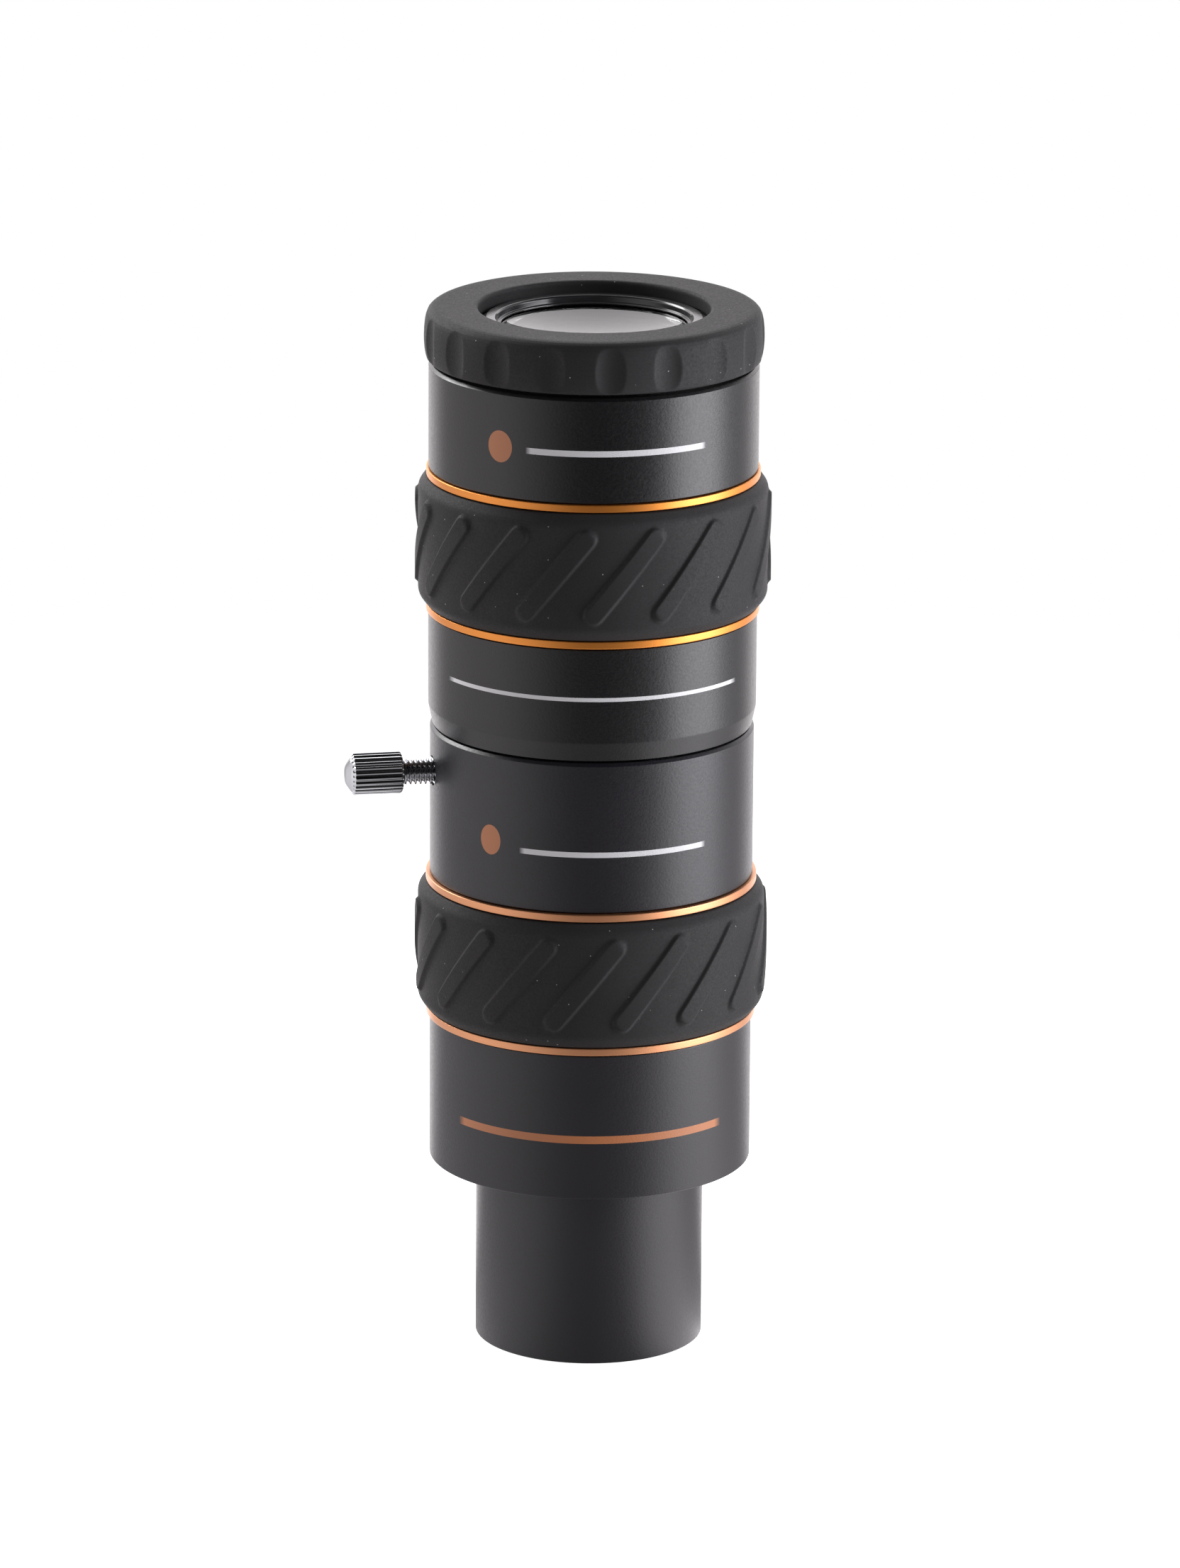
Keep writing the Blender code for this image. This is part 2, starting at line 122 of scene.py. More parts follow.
CEILING_START = 0.60  # sines of the height angles between which the room's walls dim to its ceiling
CEILING_END = 0.72
CEILING_STRENGTH = 0.22  # stands there in place of ROOM_STRENGTH
LAMP_AIM = Vector((0, 0, 0.08))

# Which body and which slot each CAD node has
BODY_OF = {node: body for body, nodes in frame["record"]["behaviour"]["bodies"].items() for node in nodes}
SLOT_OF = {part["node"]: part["material_slot"] for part in frame["record"]["subparts"]}
stood_for = set()  # the nodes that a piece made here takes the place of


# ---------------------------------------------------------------- mesh helpers


def foot_and_top(node):
    low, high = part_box(node)
    return low.z / MM, high.z / MM


def outer_radius(node):
    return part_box(node)[1].x / MM


def smooth_step(value):
    value = min(1.0, max(0.0, value))
    return value * value * (3 - 2 * value)


def soft_min(a, b, blend):
    """The lesser of two lengths, with the corner between them rounded over blend."""
    mix = min(1.0, max(0.0, 0.5 + 0.5 * (b - a) / blend))
    return b * (1 - mix) + a * mix - blend * mix * (1 - mix)


def rounded(corners, closed=True):
    """An outline with its fillets drawn, from corners (radius, height) or (radius, height, fillet)."""
    outline = []
    last = len(corners) - 1
    for i, corner in enumerate(corners):
        here = Vector(corner[:2])
        fillet = corner[2] if len(corner) > 2 else 0
        if not fillet or (not closed and i in (0, last)):
            outline.append(here)
            continue
        before = Vector(corners[i - 1][:2])
        after = Vector(corners[(i + 1) % len(corners)][:2])
        start = here + (before - here).normalized() * fillet
        end = here + (after - here).normalized() * fillet
        for step in range(FILLET_STEPS + 1):
            t = step / FILLET_STEPS
            outline.append(start * (1 - t) ** 2 + here * 2 * t * (1 - t) + end * t * t)
    return outline


def with_edge_rows(outline, closed=True, inset=0.12, shortest=0.6):
    """Adds a point near both ends of each long straight run, which keeps the shading of its wall flat."""
    made = []
    for i, here in enumerate(outline):
        made.append(here)
        if not closed and i == len(outline) - 1:
            break
        after = outline[(i + 1) % len(outline)]
        run = after - here
        if run.length > shortest:
            step = run.normalized() * inset
            made += [here + step, after - step]
    return made


def column_angles(count, offsets=(0.0,)):
    """Angles for count repeats of the offsets, which are shares of one repeat's width."""
    return [math.tau * (i + share) / count for i in range(count) for share in offsets]


def mirrored(shares):
    """Shares from 0 to a half, and the same again on the far side of the half."""
    return [*shares, *(1 - share for share in shares[-2:0:-1])]


def from_nearest(angle, pitch):
    """The angle from the nearest of the repeats that stand a pitch apart."""
    return (angle + pitch / 2) % pitch - pitch / 2


def arc(radius, top, bulge, steps=10):
    """A lens face from the axis out to its rim. bulge is how far the middle stands above the rim."""
    return [(radius * i / steps, top + bulge * (1 - (i / steps) ** 2)) for i in range(steps + 1)]


def spin(name, outline, angles, shape=None, closed=True):
    """Spins an outline round Z. shape(angle, radius, height) moves each point, to (angle, radius, height).

    A closed outline makes a ring. An open one starts and ends on the axis and makes a solid.
    """
    mesh = bmesh.new()
    poles = {}
    if not closed:
        poles = {0: outline[0], len(outline) - 1: outline[-1]}
    loops = []
    for row, (radius, height) in enumerate(outline):
        if row in poles:
            loops.append([mesh.verts.new((0, 0, height * MM))])
            continue
        loop = []
        for angle in angles:
            a, r, z = shape(angle, radius, height) if shape else (angle, radius, height)
            loop.append(mesh.verts.new(Vector((r * math.sin(a), -r * math.cos(a), z)) * MM))
        loops.append(loop)
    pairs = list(zip(loops, loops[1:]))
    if closed:
        pairs.append((loops[-1], loops[0]))
    count = len(angles)
    for lower, upper in pairs:
        for i in range(count):
            j = (i + 1) % count
            if len(lower) == 1:
                mesh.faces.new((lower[0], upper[j], upper[i]))
            elif len(upper) == 1:
                mesh.faces.new((lower[i], lower[j], upper[0]))
            else:
                mesh.faces.new((lower[i], lower[j], upper[j], upper[i]))
    return new_object(name, mesh)


def new_object(name, mesh):
    bmesh.ops.recalc_face_normals(mesh, faces=mesh.faces)
    data = bpy.data.meshes.new(name)
    mesh.to_mesh(data)
    mesh.free()
    data.shade_smooth()
    data.set_sharp_from_angle(angle=SHARP_ANGLE)
    made = bpy.data.objects.new(name, data)
    bpy.context.scene.collection.objects.link(made)
    return made


def turned(name, corners, count=ROUND):
    """A plain turned ring with filleted corners."""
    return spin(name, with_edge_rows(rounded(corners)), column_angles(count))


def ground_lens(name, radius, foot, top, foot_bulge, top_bulge):
    """A lens with two curved faces and a thin bevel at each rim."""
    bevel = 0.15
    upper = arc(radius - bevel, top, top_bulge)
    lower = arc(radius - bevel, foot, -foot_bulge)
    rim = [(radius, foot + bevel), (radius, top - bevel)]
    outline = [Vector(p) for p in lower + rim + upper[::-1]]
    return spin(name, outline, column_angles(SMALL_ROUND), closed=False)


def cut(piece, cutter):
    """Cuts one object out of another and removes the cutter."""
    modifier = piece.modifiers.new("Cut", "BOOLEAN")
    modifier.operation = "DIFFERENCE"
    modifier.object = cutter
    graph = bpy.context.evaluated_depsgraph_get()
    data = bpy.data.meshes.new_from_object(piece.evaluated_get(graph))
    data.set_sharp_from_angle(angle=SHARP_ANGLE)
    piece.modifiers.clear()
    piece.data = data
    bpy.data.objects.remove(cutter)


def cut_box(piece, low, high):
    """Cuts a box out of a piece. The corners are in millimetres."""
    mesh = bmesh.new()
    sides = [(b - a) * MM for a, b in zip(low, high)]
    middle = [(a + b) / 2 * MM for a, b in zip(low, high)]
    bmesh.ops.create_cube(mesh, size=1, matrix=Matrix.Translation(middle) @ Matrix.Diagonal((*sides, 1)))
    cut(piece, new_object("cutter", mesh))


def lay_along_screw(piece):
    """Turns a piece that was spun round Z so that its axis is the thumbscrew's."""
    outwards = Vector((math.cos(SCREW_ANGLE), math.sin(SCREW_ANGLE), 0))
    turn = outwards.to_track_quat("Z", "Y").to_matrix().to_4x4()
    piece.data.transform(Matrix.Translation((0, 0, SCREW_HEIGHT * MM)) @ turn)


def stand_for(piece, node, finish):
    """Gives a piece its finish and puts it in the place of a CAD node."""
    piece.data.materials.clear()
    piece.data.materials.append(finish)
    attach(piece, BODY_OF[node])
    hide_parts(node)
    stood_for.add(node)


# ---------------------------------------------------------------- finishes


class Finish:
    """A material being made: its shader, and short calls for the nodes that feed it."""

    def __init__(self, name, colour, roughness, metallic=0.0, **sockets):
        """sockets names other inputs of the shader, with underscores for spaces."""
        self.material = bpy.data.materials.new(name)
        self.material.use_nodes = True
        self.nodes = self.material.node_tree.nodes
        self.links = self.material.node_tree.links
        self.shader = self.nodes["Principled BSDF"]
        self.shader.inputs["Base Color"].default_value = (*colour, 1)
        self.shader.inputs["Roughness"].default_value = roughness
        self.shader.inputs["Metallic"].default_value = metallic
        for socket, value in sockets.items():
            self.shader.inputs[socket.replace("_", " ")].default_value = value
        self.place = self.add("ShaderNodeTexCoord").outputs["Object"]

    def add(self, kind, inputs=(), **settings):
        """A new node. inputs maps its sockets to a value or to another node's output."""
        node = self.nodes.new(kind)
        for key, value in settings.items():
            setattr(node, key, value)
        for key, value in dict(inputs).items():
            if isinstance(value, bpy.types.NodeSocket):
                self.links.new(value, node.inputs[key])
            else:
                node.inputs[key].default_value = value
        return node

    def noise(self, scale, detail=2.0, stretch=None):
        place = self.place
        if stretch:
            place = self.add("ShaderNodeMapping", {"Vector": place, "Scale": stretch}).outputs[0]
        return self.add("ShaderNodeTexNoise", {"Vector": place, "Scale": scale, "Detail": detail}).outputs[0]

    def spread(self, value, low, high, start=0.0, end=1.0):
        """Maps start..end of a value onto low..high."""
        inputs = {"Value": value, "From Min": start, "From Max": end, "To Min": low, "To Max": high}
        return self.add("ShaderNodeMapRange", inputs).outputs[0]

    def maths(self, operation, a, b=0.0):
        return self.add("ShaderNodeMath", {0: a, 1: b}, operation=operation).outputs[0]

    def mixed(self, share, first, second):
        """A colour between two others, which are linear RGB or outputs."""
        colours = [c if isinstance(c, bpy.types.NodeSocket) else (*c, 1) for c in (first, second)]
        node = self.add("ShaderNodeMix", {0: share, 6: colours[0], 7: colours[1]}, data_type="RGBA")
        return node.outputs[2]

    def angle_and_height(self):
        """The angle round Z from the front towards the right, and the height."""
        x, y, z = self.add("ShaderNodeSeparateXYZ", {0: self.place}).outputs
        return self.maths("ARCTAN2", x, self.maths("MULTIPLY", y, -1.0)), z

    def drift(self, noise, tint, factor, start=NOISE_RANGE[0], end=NOISE_RANGE[1]):
        """A colour that runs from the tint to the tint times factor as the noise goes from start to end."""
        return self.mixed(self.spread(noise, 0, 1, start, end), tint, [channel * factor for channel in tint])

    def vary_roughness(self, noise, low, high):
        self.feed("Roughness", self.spread(noise, low, high, *NOISE_RANGE))

    def bump(self, height, distance, strength=1.0):
        """Adds relief. distance is in millimetres."""
        inputs = {"Height": height, "Distance": distance * MM, "Strength": strength}
        earlier = self.shader.inputs["Normal"].links
        if earlier:
            inputs["Normal"] = earlier[0].from_socket
        self.links.new(self.add("ShaderNodeBump", inputs).outputs[0], self.shader.inputs["Normal"])

    def feed(self, socket, value):
        self.links.new(value, self.shader.inputs[socket])


def printed(finish, base, marks):
    """Prints plain bars and dots on a body.

    Each mark is (kind, angle, height, half width, half height, colour). Angles are in degrees, and so is a
    bar's half width. The other lengths are in millimetres.
    """
    angle, z = finish.angle_and_height()
    colour = base
    for kind, centre, height, half_width, half_height, ink in marks:
        across = finish.maths("SUBTRACT", angle, math.radians(centre))
        above = finish.maths("SUBTRACT", z, height * MM)
        if kind == "bar":
            aside = finish.maths("DIVIDE", finish.maths("ABSOLUTE", across), math.radians(half_width))
            upward = finish.maths("DIVIDE", finish.maths("ABSOLUTE", above), half_height * MM)
            reach = finish.maths("MAXIMUM", aside, upward)
        else:
            aside = finish.maths("DIVIDE", across, half_width / outer_radius("upper_body"))
            upward = finish.maths("DIVIDE", above, half_height * MM)
            squares = [finish.maths("MULTIPLY", v, v) for v in (aside, upward)]
            reach = finish.maths("ADD", *squares)
        mask = finish.spread(reach, 1.0, 0.0, 1 - MARK_FADE, 1 + MARK_FADE)
        colour = finish.mixed(mask, colour, ink)
    return colour


def anodised(name, tint, roughness, marks=()):
    """Satin black anodising over a fine blasted grain."""
    finish = Finish(name, tint, roughness)
    grain = finish.noise(3000, 4)
    patch = finish.noise(90, 2)
    shade = finish.drift(patch, tint, 1.35)
    finish.feed("Base Color", printed(finish, shade, marks) if marks else shade)
    finish.vary_roughness(grain, roughness - 0.05, roughness + 0.05)
    finish.bump(grain, 0.03, 0.7)
    return finish.material


def trim(name, tint):
    """Satin coloured anodising with the fine lines that turning leaves."""
    finish = Finish(name, tint, 0.46, 1.0, Coat_Weight=0.25, Coat_Roughness=0.25)
    lines = finish.noise(260, 3, (1, 1, 45))
    finish.vary_roughness(lines, 0.43, 0.49)
    finish.feed("Base Color", finish.drift(lines, tint, 0.95, 0.35, 0.65))
    finish.bump(lines, 0.0015, 0.4)
    return finish.material


def rubber(name, tint):
    """Matte moulded rubber with a fine texture and specks of dust, in three of ten Voronoi cells."""
    finish = Finish(name, tint, 0.68, Specular_IOR_Level=0.3)
    grain = finish.noise(3800, 3)
    cloud = finish.noise(120, 3)
    shade = finish.drift(cloud, tint, 1.3)
    cells = finish.add("ShaderNodeTexVoronoi", {"Vector": finish.place, "Scale": DUST_SCALE})
    near = finish.spread(cells.outputs["Distance"], 1.0, 0.0, 0.04, 0.08)
    draw = finish.add("ShaderNodeSeparateColor", {0: cells.outputs["Color"]}).outputs[0]
    dust = finish.maths("MULTIPLY", near, finish.spread(draw, 0, 1, 0.68, 0.72))
    finish.feed("Base Color", finish.mixed(finish.maths("MULTIPLY", dust, 0.8), shade, (0.35, 0.34, 0.32)))
    finish.vary_roughness(grain, 0.6, 0.78)
    finish.bump(grain, 0.02, 0.3)
    return finish.material


def metal(name, tint, roughness):
    """Polished or turned bare metal with a little unevenness."""
    finish = Finish(name, tint, roughness, 1.0)
    uneven = finish.noise(900, 3)
    finish.vary_roughness(uneven, roughness * 0.7, roughness * 1.5)
    finish.bump(uneven, 0.004, 0.3)
    return finish.material


def inner_black(name, tint, roughness):
    """Matt black anodising inside the tubes, with turning marks. Made glossier, it is also the opaque dark
    glass that is painted shade.
    """
    finish = Finish(name, tint, roughness)
    lines = finish.noise(300, 2, (1, 1, 25))
    finish.feed("Base Color", finish.drift(lines, tint, 1.5))
    finish.vary_roughness(lines, roughness * 0.85, roughness * 1.15)
    finish.bump(lines, 0.01, 0.3)
    return finish.material


def coated_glass(name):
    """Clear optical glass."""
    finish = Finish(name, (0.93, 0.97, 0.95), 0.01, Transmission_Weight=1.0, IOR=1.52)
    wipe = finish.noise(60, 3)
    finish.feed("Roughness", finish.spread(wipe, 0.004, 0.03, 0.45, 0.8))
    return finish.material


WHITE_INK = (0.62, 0.62, 0.63)
COPPER_INK = (0.42, 0.15, 0.055)
EYEPIECE_BLACK = (0.0040, 0.0036, 0.0042)
BARLOW_BLACK = (0.0062, 0.0055, 0.0080)

UPPER_MARKS = (("dot", -34.0, 132.0, 1.9, 2.2, COPPER_INK), ("bar", 9.0, 131.9, 32.0, 0.42, WHITE_INK))
WAIST_MARKS = (("bar", 0.0, 97.6, 58.0, 0.28, WHITE_INK),)
SOCKET_MARKS = (("dot", -38.0, 76.4, 1.7, 2.1, COPPER_INK), ("bar", 9.0, 75.6, 34.0, 0.38, WHITE_INK))
FOOT_MARKS = (("bar", 0.0, 34.8, 52.0, 0.55, COPPER_INK),)

finishes = {
    "nose": anodised("nose_black", BARLOW_BLACK, 0.40),
    "foot": anodised("barlow_lower_black", BARLOW_BLACK, 0.40, FOOT_MARKS),
    "socket": anodised("barlow_upper_black", BARLOW_BLACK, 0.39, SOCKET_MARKS),
    "waist": anodised("eyepiece_lower_black", EYEPIECE_BLACK, 0.36, WAIST_MARKS),
    "crown": anodised("eyepiece_upper_black", EYEPIECE_BLACK, 0.36, UPPER_MARKS),
    "copper": trim("copper_anodised", (0.66, 0.31, 0.155)),
    "orange": trim("orange_gold_anodised", (0.72, 0.265, 0.05)),
    "rubber": rubber("moulded_rubber", (0.0135, 0.013, 0.0135)),
    "chrome": metal("bright_chrome", (0.54, 0.55, 0.57), 0.08),
    "brass": metal("turned_brass", (0.72, 0.50, 0.20), 0.26),
    "dark": inner_black("inner_black", (0.010, 0.010, 0.011), 0.5),
    "grey": inner_black("satin_grey_ring", (0.02, 0.02, 0.021), 0.18),
    "glass": coated_glass("optical_glass"),
    # The sealed glass: an opaque near-black finish in place of clear glass, painted shade inside the lens
    # stack
    "shade_painted_glass": inner_black("glass_painted_dark_as_shade", (0.006, 0.008, 0.010), 0.1),
}


# ---------------------------------------------------------------- the barlow


def make_nose():
    """The push-fit nose, with a filter thread inside its mouth."""
    foot, top = foot_and_top("nose_barrel")
    outer = outer_radius("nose_barrel")
    bore, thread_foot, thread_top = 14.3, foot + 0.7, foot + 5.4
    rows = int((thread_top - thread_foot) / FILTER_PITCH * 8)
    thread = [(bore, thread_top - (thread_top - thread_foot) * i / rows) for i in range(rows + 1)]
    shoulder = foot_and_top("lower_body")[0] + NOSE_SEAT_DEPTH - 0.15
    spigot, throat, throat_foot = 14.9, 12.8, 22.3
    corners = [
        (spigot, shoulder, 0.1), (spigot, top, 0.2), (throat, top, 0.2), (throat, throat_foot, 0.1),
        (bore, throat_foot), (bore, thread_top),
    ]
    mouth = [
        (bore, thread_foot), (bore + 0.35, foot + 0.05, 0.05), (outer, foot, 0.16), (outer, shoulder, 0.1),
    ]
    thread_rows = [Vector(p) for p in thread[1:-1]]
    outline = rounded(corners, closed=False) + thread_rows + rounded(mouth, closed=False)

    def filter_thread(angle, radius, height):
        if radius < bore + 0.01 and thread_foot < height < thread_top:
            turn = (height / FILTER_PITCH + angle / math.tau) % 1
            ease = min(1.0, (height - thread_foot) / FILTER_PITCH, (thread_top - height) / FILTER_PITCH)
            radius += (FILTER_DEPTH * (1 - abs(2 * turn - 1)) - FILTER_DEPTH / 2) * max(0.0, ease)
        return angle, radius, height

    nose = spin("nose_tube", with_edge_rows(outline), column_angles(ROUND), filter_thread)
    stand_for(nose, "nose_barrel", finishes["nose"])


def make_cell():
    """The lens cell seen from below: its tube, its slotted ring and the lenses."""
    foot, top = foot_and_top("lens_cell")
    corners = [
        (12.4, foot + 0.3, 0.1), (12.7, foot, 0.1), (14.0, foot, 0.2), (14.0, top, 0.2),
        (11.4, top, 0.2), (11.4, 20.3, 0.1), (12.4, 20.3),
    ]
    stand_for(turned("cell_tube", corners), "lens_cell", finishes["dark"])

    foot, top = foot_and_top("cell_retaining_ring")
    corners = [(10.9, foot, 0.5), (12.1, foot, 0.15), (12.1, top, 0.1), (10.9, top, 0.1)]
    ring = turned("cell_lock_ring", corners)
    cut_box(ring, (-13.5, -0.6, foot - 0.3), (13.5, 0.6, foot + 0.6))
    stand_for(ring, "cell_retaining_ring", finishes["dark"])

    lenses = {
        "crown_lens": (8.9, 12.4, -1.2, -1.0),
        "flint_lens": (12.7, 14.6, 1.0, -0.5),
        "rear_lens": (16.9, 20.0, -0.7, 0.5),
    }
    for node, faces in lenses.items():
        stand_for(ground_lens(node + "_glass", outer_radius(node), *faces), node, finishes["glass"])


def make_housing():
    """The two halves of the barlow's housing."""
    foot, top = foot_and_top("lower_body")
    outer = outer_radius("lower_body")
    seat, seat_top = outer_radius("nose_barrel") + 0.12, foot + NOSE_SEAT_DEPTH
    chamber, chamber_foot, nose_hole = 20.3, 34.0, 15.2
    corners = [
        (seat, foot, 0.08), (outer, foot, 0.22), (outer, top, 0.15), (chamber, top, 0.1),
        (chamber, chamber_foot), (nose_hole, chamber_foot), (nose_hole, seat_top), (seat, seat_top),
    ]
    stand_for(turned("housing_foot", corners), "lower_body", finishes["foot"])

    outer, socket, groove = outer_radius("upper_body"), 15.98, 17.3
    spigot, joint, wide_foot = 20.0, 47.0, 67.35  # joint is where the halves meet
    chamber, stop, stop_foot, stop_top = 16.8, 14.2, 58.5, 60.9
    foot, top = foot_and_top("upper_body")
    band_foot, band_top = foot_and_top("compression_ring")
    corners = [
        (chamber, foot), (spigot, foot, 0.2), (spigot, joint), (NECK, joint), (NECK, wide_foot),
        (outer, wide_foot, 0.12), (outer, top - BODY_CHAMFER, 0.05), (outer - BODY_CHAMFER, top, 0.05),
        (socket + 0.35, top, 0.1), (socket, top - 0.35, 0.1), (socket, band_top + 0.4),
        (groove, band_top + 0.4), (groove, band_foot - 0.4), (socket, band_foot - 0.4), (socket, stop_top),
        (stop, stop_top, 0.1), (stop, stop_foot), (chamber, stop_foot),
    ]
    body = turned("housing_socket", corners)
    drill_screw_hole(body)
    stand_for(body, "upper_body", finishes["socket"])


def drill_screw_hole(body):
    """A round hole through the socket's wall, a hair wider than the thread."""
    hole = [Vector(p) for p in ((0, 16.4), (2.1, 16.4), (2.1, 23.5), (0, 23.5))]
    cutter = spin("drill", hole, column_angles(48), closed=False)
    lay_along_screw(cutter)
    cut(body, cutter)


def make_trim_ring(node, finish):
    """An anodised band with softly rounded edges."""
    foot, top = foot_and_top(node)
    outer = outer_radius(node)
    corners = [(BAND_BORE, foot), (outer, foot, 0.16), (outer, top, 0.16), (BAND_BORE, top)]
    stand_for(turned(node + "_band", corners, 256), node, finish)


def make_grip(node):
    """A rubber sleeve with slanting ribs. Its columns lean with the ribs, so a rib's sides stay crisp."""
    foot, top = foot_and_top(node)
    sleeve = 24.05
    pitch = math.tau / RIB_COUNT
    foot_angle = math.radians(RIB_FOOT_ANGLES[node])
    along = Vector((RIB_SLANT * sleeve, 1)).normalized()
    length = (RIB_HEAD - RIB_FOOT) / along.y

    steps = 66
    side = [(sleeve, foot + 2 + (top - foot - 4) * i / steps) for i in range(1, steps)]
    foot_corners = [
        (BAND_BORE, foot), (23.0, foot, 0.25), (23.35, foot + 0.45, 0.3), (sleeve, foot + 1.35, 0.6),
        (sleeve, foot + 2),
    ]
    head_corners = [
        (sleeve, top - 2), (sleeve, top - 1.35, 0.6), (23.35, top - 0.45, 0.3), (23.0, top, 0.25),
        (BAND_BORE, top),
    ]
    foot_round, head_round = (rounded(corners, closed=False) for corners in (foot_corners, head_corners))
    outline = foot_round + [Vector(p) for p in side] + head_round

    def ribbed(angle, radius, height):
        rise = height - foot - RIB_FOOT
        if radius > sleeve - 0.3:
            aside = from_nearest(angle, pitch)
            place = Vector((sleeve * (aside + RIB_SLANT * rise), rise))
            share = min(length, max(0.0, place.dot(along)))
            reach = (place - along * share).length
            radius += RIB_RISE * smooth_step((RIB_HALF_WIDTH - reach) / RIB_SHOULDER)
        return angle + RIB_SLANT * rise + foot_angle, radius, height

    # Columns stand closest where a rib's slopes are
    shares = (
        0, 0.05, 0.09, 0.115, 0.13, 0.142, 0.154, 0.168, 0.182, 0.197, 0.213, 0.235, 0.28, 0.35, 0.43, 0.5,
    )
    columns = column_angles(RIB_COUNT, mirrored(shares))
    piece = spin(node + "_sleeve", with_edge_rows(outline, shortest=1.0), columns, ribbed)
    stand_for(piece, node, finishes["rubber"])


def make_thumbscrew():
    """A knurled head and a threaded shank in one piece, and the pad on its tip."""
    tip, tip_radius, tip_bevel = 18.4, 1.3, 0.3
    thread_end = KNURL_START - 0.05
    step = SCREW_PITCH / 10
    length = thread_end - tip - tip_bevel
    rows = int(length / step)
    shank = [(SCREW_THREAD_RADIUS, tip + tip_bevel + length * i / rows) for i in range(rows + 1)]
    head = rounded(
        [
            (SCREW_THREAD_RADIUS, KNURL_START), (2.72, KNURL_START, 0.05), (2.95, KNURL_START + 0.25, 0.1),
            (2.95, KNURL_END - 0.2, 0.1), (2.6, KNURL_END + 0.12, 0.1), (2.25, KNURL_END + 0.42, 0.15),
            (1.15, SCREW_TOP - 0.12, 0.55), (0, SCREW_TOP),
        ],
        closed=False,
    )
    outline = [Vector((0, tip)), Vector((tip_radius, tip)), *(Vector(p) for p in shank), *head]
    outline = with_edge_rows(outline, closed=False, inset=0.08, shortest=0.9)

    def threaded_and_knurled(angle, radius, height):
        if tip < height <= thread_end and radius > tip_radius + 0.1:
            turn = (height / SCREW_PITCH - angle / math.tau) % 1
            ridge = smooth_step(1.6 * (1 - abs(2 * turn - 1)) - 0.2)
            radius -= SCREW_THREAD_DEPTH * (1 - ridge)
        elif height > KNURL_START + 0.05 and radius > 2.5:
            wave = 0.5 - 0.5 * math.cos(angle * KNURL_COUNT)
            fade = smooth_step((radius - 2.5) / 0.3)
            radius -= KNURL_DEPTH * fade * wave ** 1.5
        return angle, radius, height

    screw = spin("knurled_screw", outline, column_angles(KNURL_COUNT * 7), threaded_and_knurled, closed=False)
    lay_along_screw(screw)
    stand_for(screw, "thumbscrew", finishes["chrome"])

    pad = ((0, 17.15), (1.0, 17.15), (1.25, 17.3), (1.4, 17.55), (1.4, 18.05), (1.35, 18.1), (0, 18.1))
    tip_pad = spin("screw_pad", [Vector(p) for p in pad], column_angles(48), closed=False)
    lay_along_screw(tip_pad)
    stand_for(tip_pad, "thumbscrew_tip", finishes["brass"])


def make_compression_ring():
    """The split brass band in the socket."""
    foot, top = foot_and_top("compression_ring")
    corners = [(16.08, foot, 0.25), (16.85, foot, 0.1), (16.85, top, 0.1), (16.08, top, 0.25)]
    band = turned("split_band", corners)
    cut_box(band, (14.5, -1.2, foot - 1), (18.5, 1.2, top + 1))
    stand_for(band, "compression_ring", finishes["brass"])


# ---------------------------------------------------------------- the eyepiece


def make_eyepiece_shells():
    """The chromed barrel and the two black halves of the eyepiece's body."""
    foot, top = foot_and_top("eyepiece_barrel")
    outer = outer_radius("eyepiece_barrel")
    waist_foot, waist_top = foot_and_top("eyepiece_lower_body")
    undercut = SCREW_HEIGHT
    bore, throat, throat_foot, spigot = 14.3, 13.0, 69.8, 14.9
    corners = [
        (bore, foot + 0.3, 0.1), (bore + 0.3, foot, 0.1), (outer, foot, 0.3), (outer, undercut - 4.0, 0.2),
        (outer - 0.5, undercut - 3.0, 0.2), (outer - 0.5, undercut + 3.0, 0.2), (outer, undercut + 4.0, 0.2),
        (outer, waist_foot - 0.15), (spigot, waist_foot - 0.15), (spigot, top, 0.15), (throat, top, 0.15),
        (throat, throat_foot), (bore, throat_foot),
    ]
    stand_for(turned("push_fit_barrel", corners), "eyepiece_barrel", finishes["chrome"])

    outer = 22.65
    band_foot = 104.55
    collar = 124.85
    corners = [
        (15.2, waist_foot, 0.1), (22.12, waist_foot, 0.12), (outer, 91.4, 0.12), (outer, band_foot, 0.12),
        (NECK, band_foot), (NECK, collar), (20.3, collar), (20.3, waist_top, 0.1), (17.0, waist_top, 0.1),
        (17.0, 96.0), (15.2, 96.0),
    ]
    stand_for(turned("eyepiece_waist", corners), "eyepiece_lower_body", finishes["waist"])

    foot, top = foot_and_top("eyepiece_upper_body")
    corners = [
        (20.6, foot), (outer, foot, 0.12), (outer, top - BODY_CHAMFER, 0.05),
        (outer - BODY_CHAMFER, top, 0.05), (21.1, top, 0.15), (21.1, 128.8), (20.6, 128.8),
    ]
    stand_for(turned("eyepiece_crown", corners), "eyepiece_upper_body", finishes["crown"])


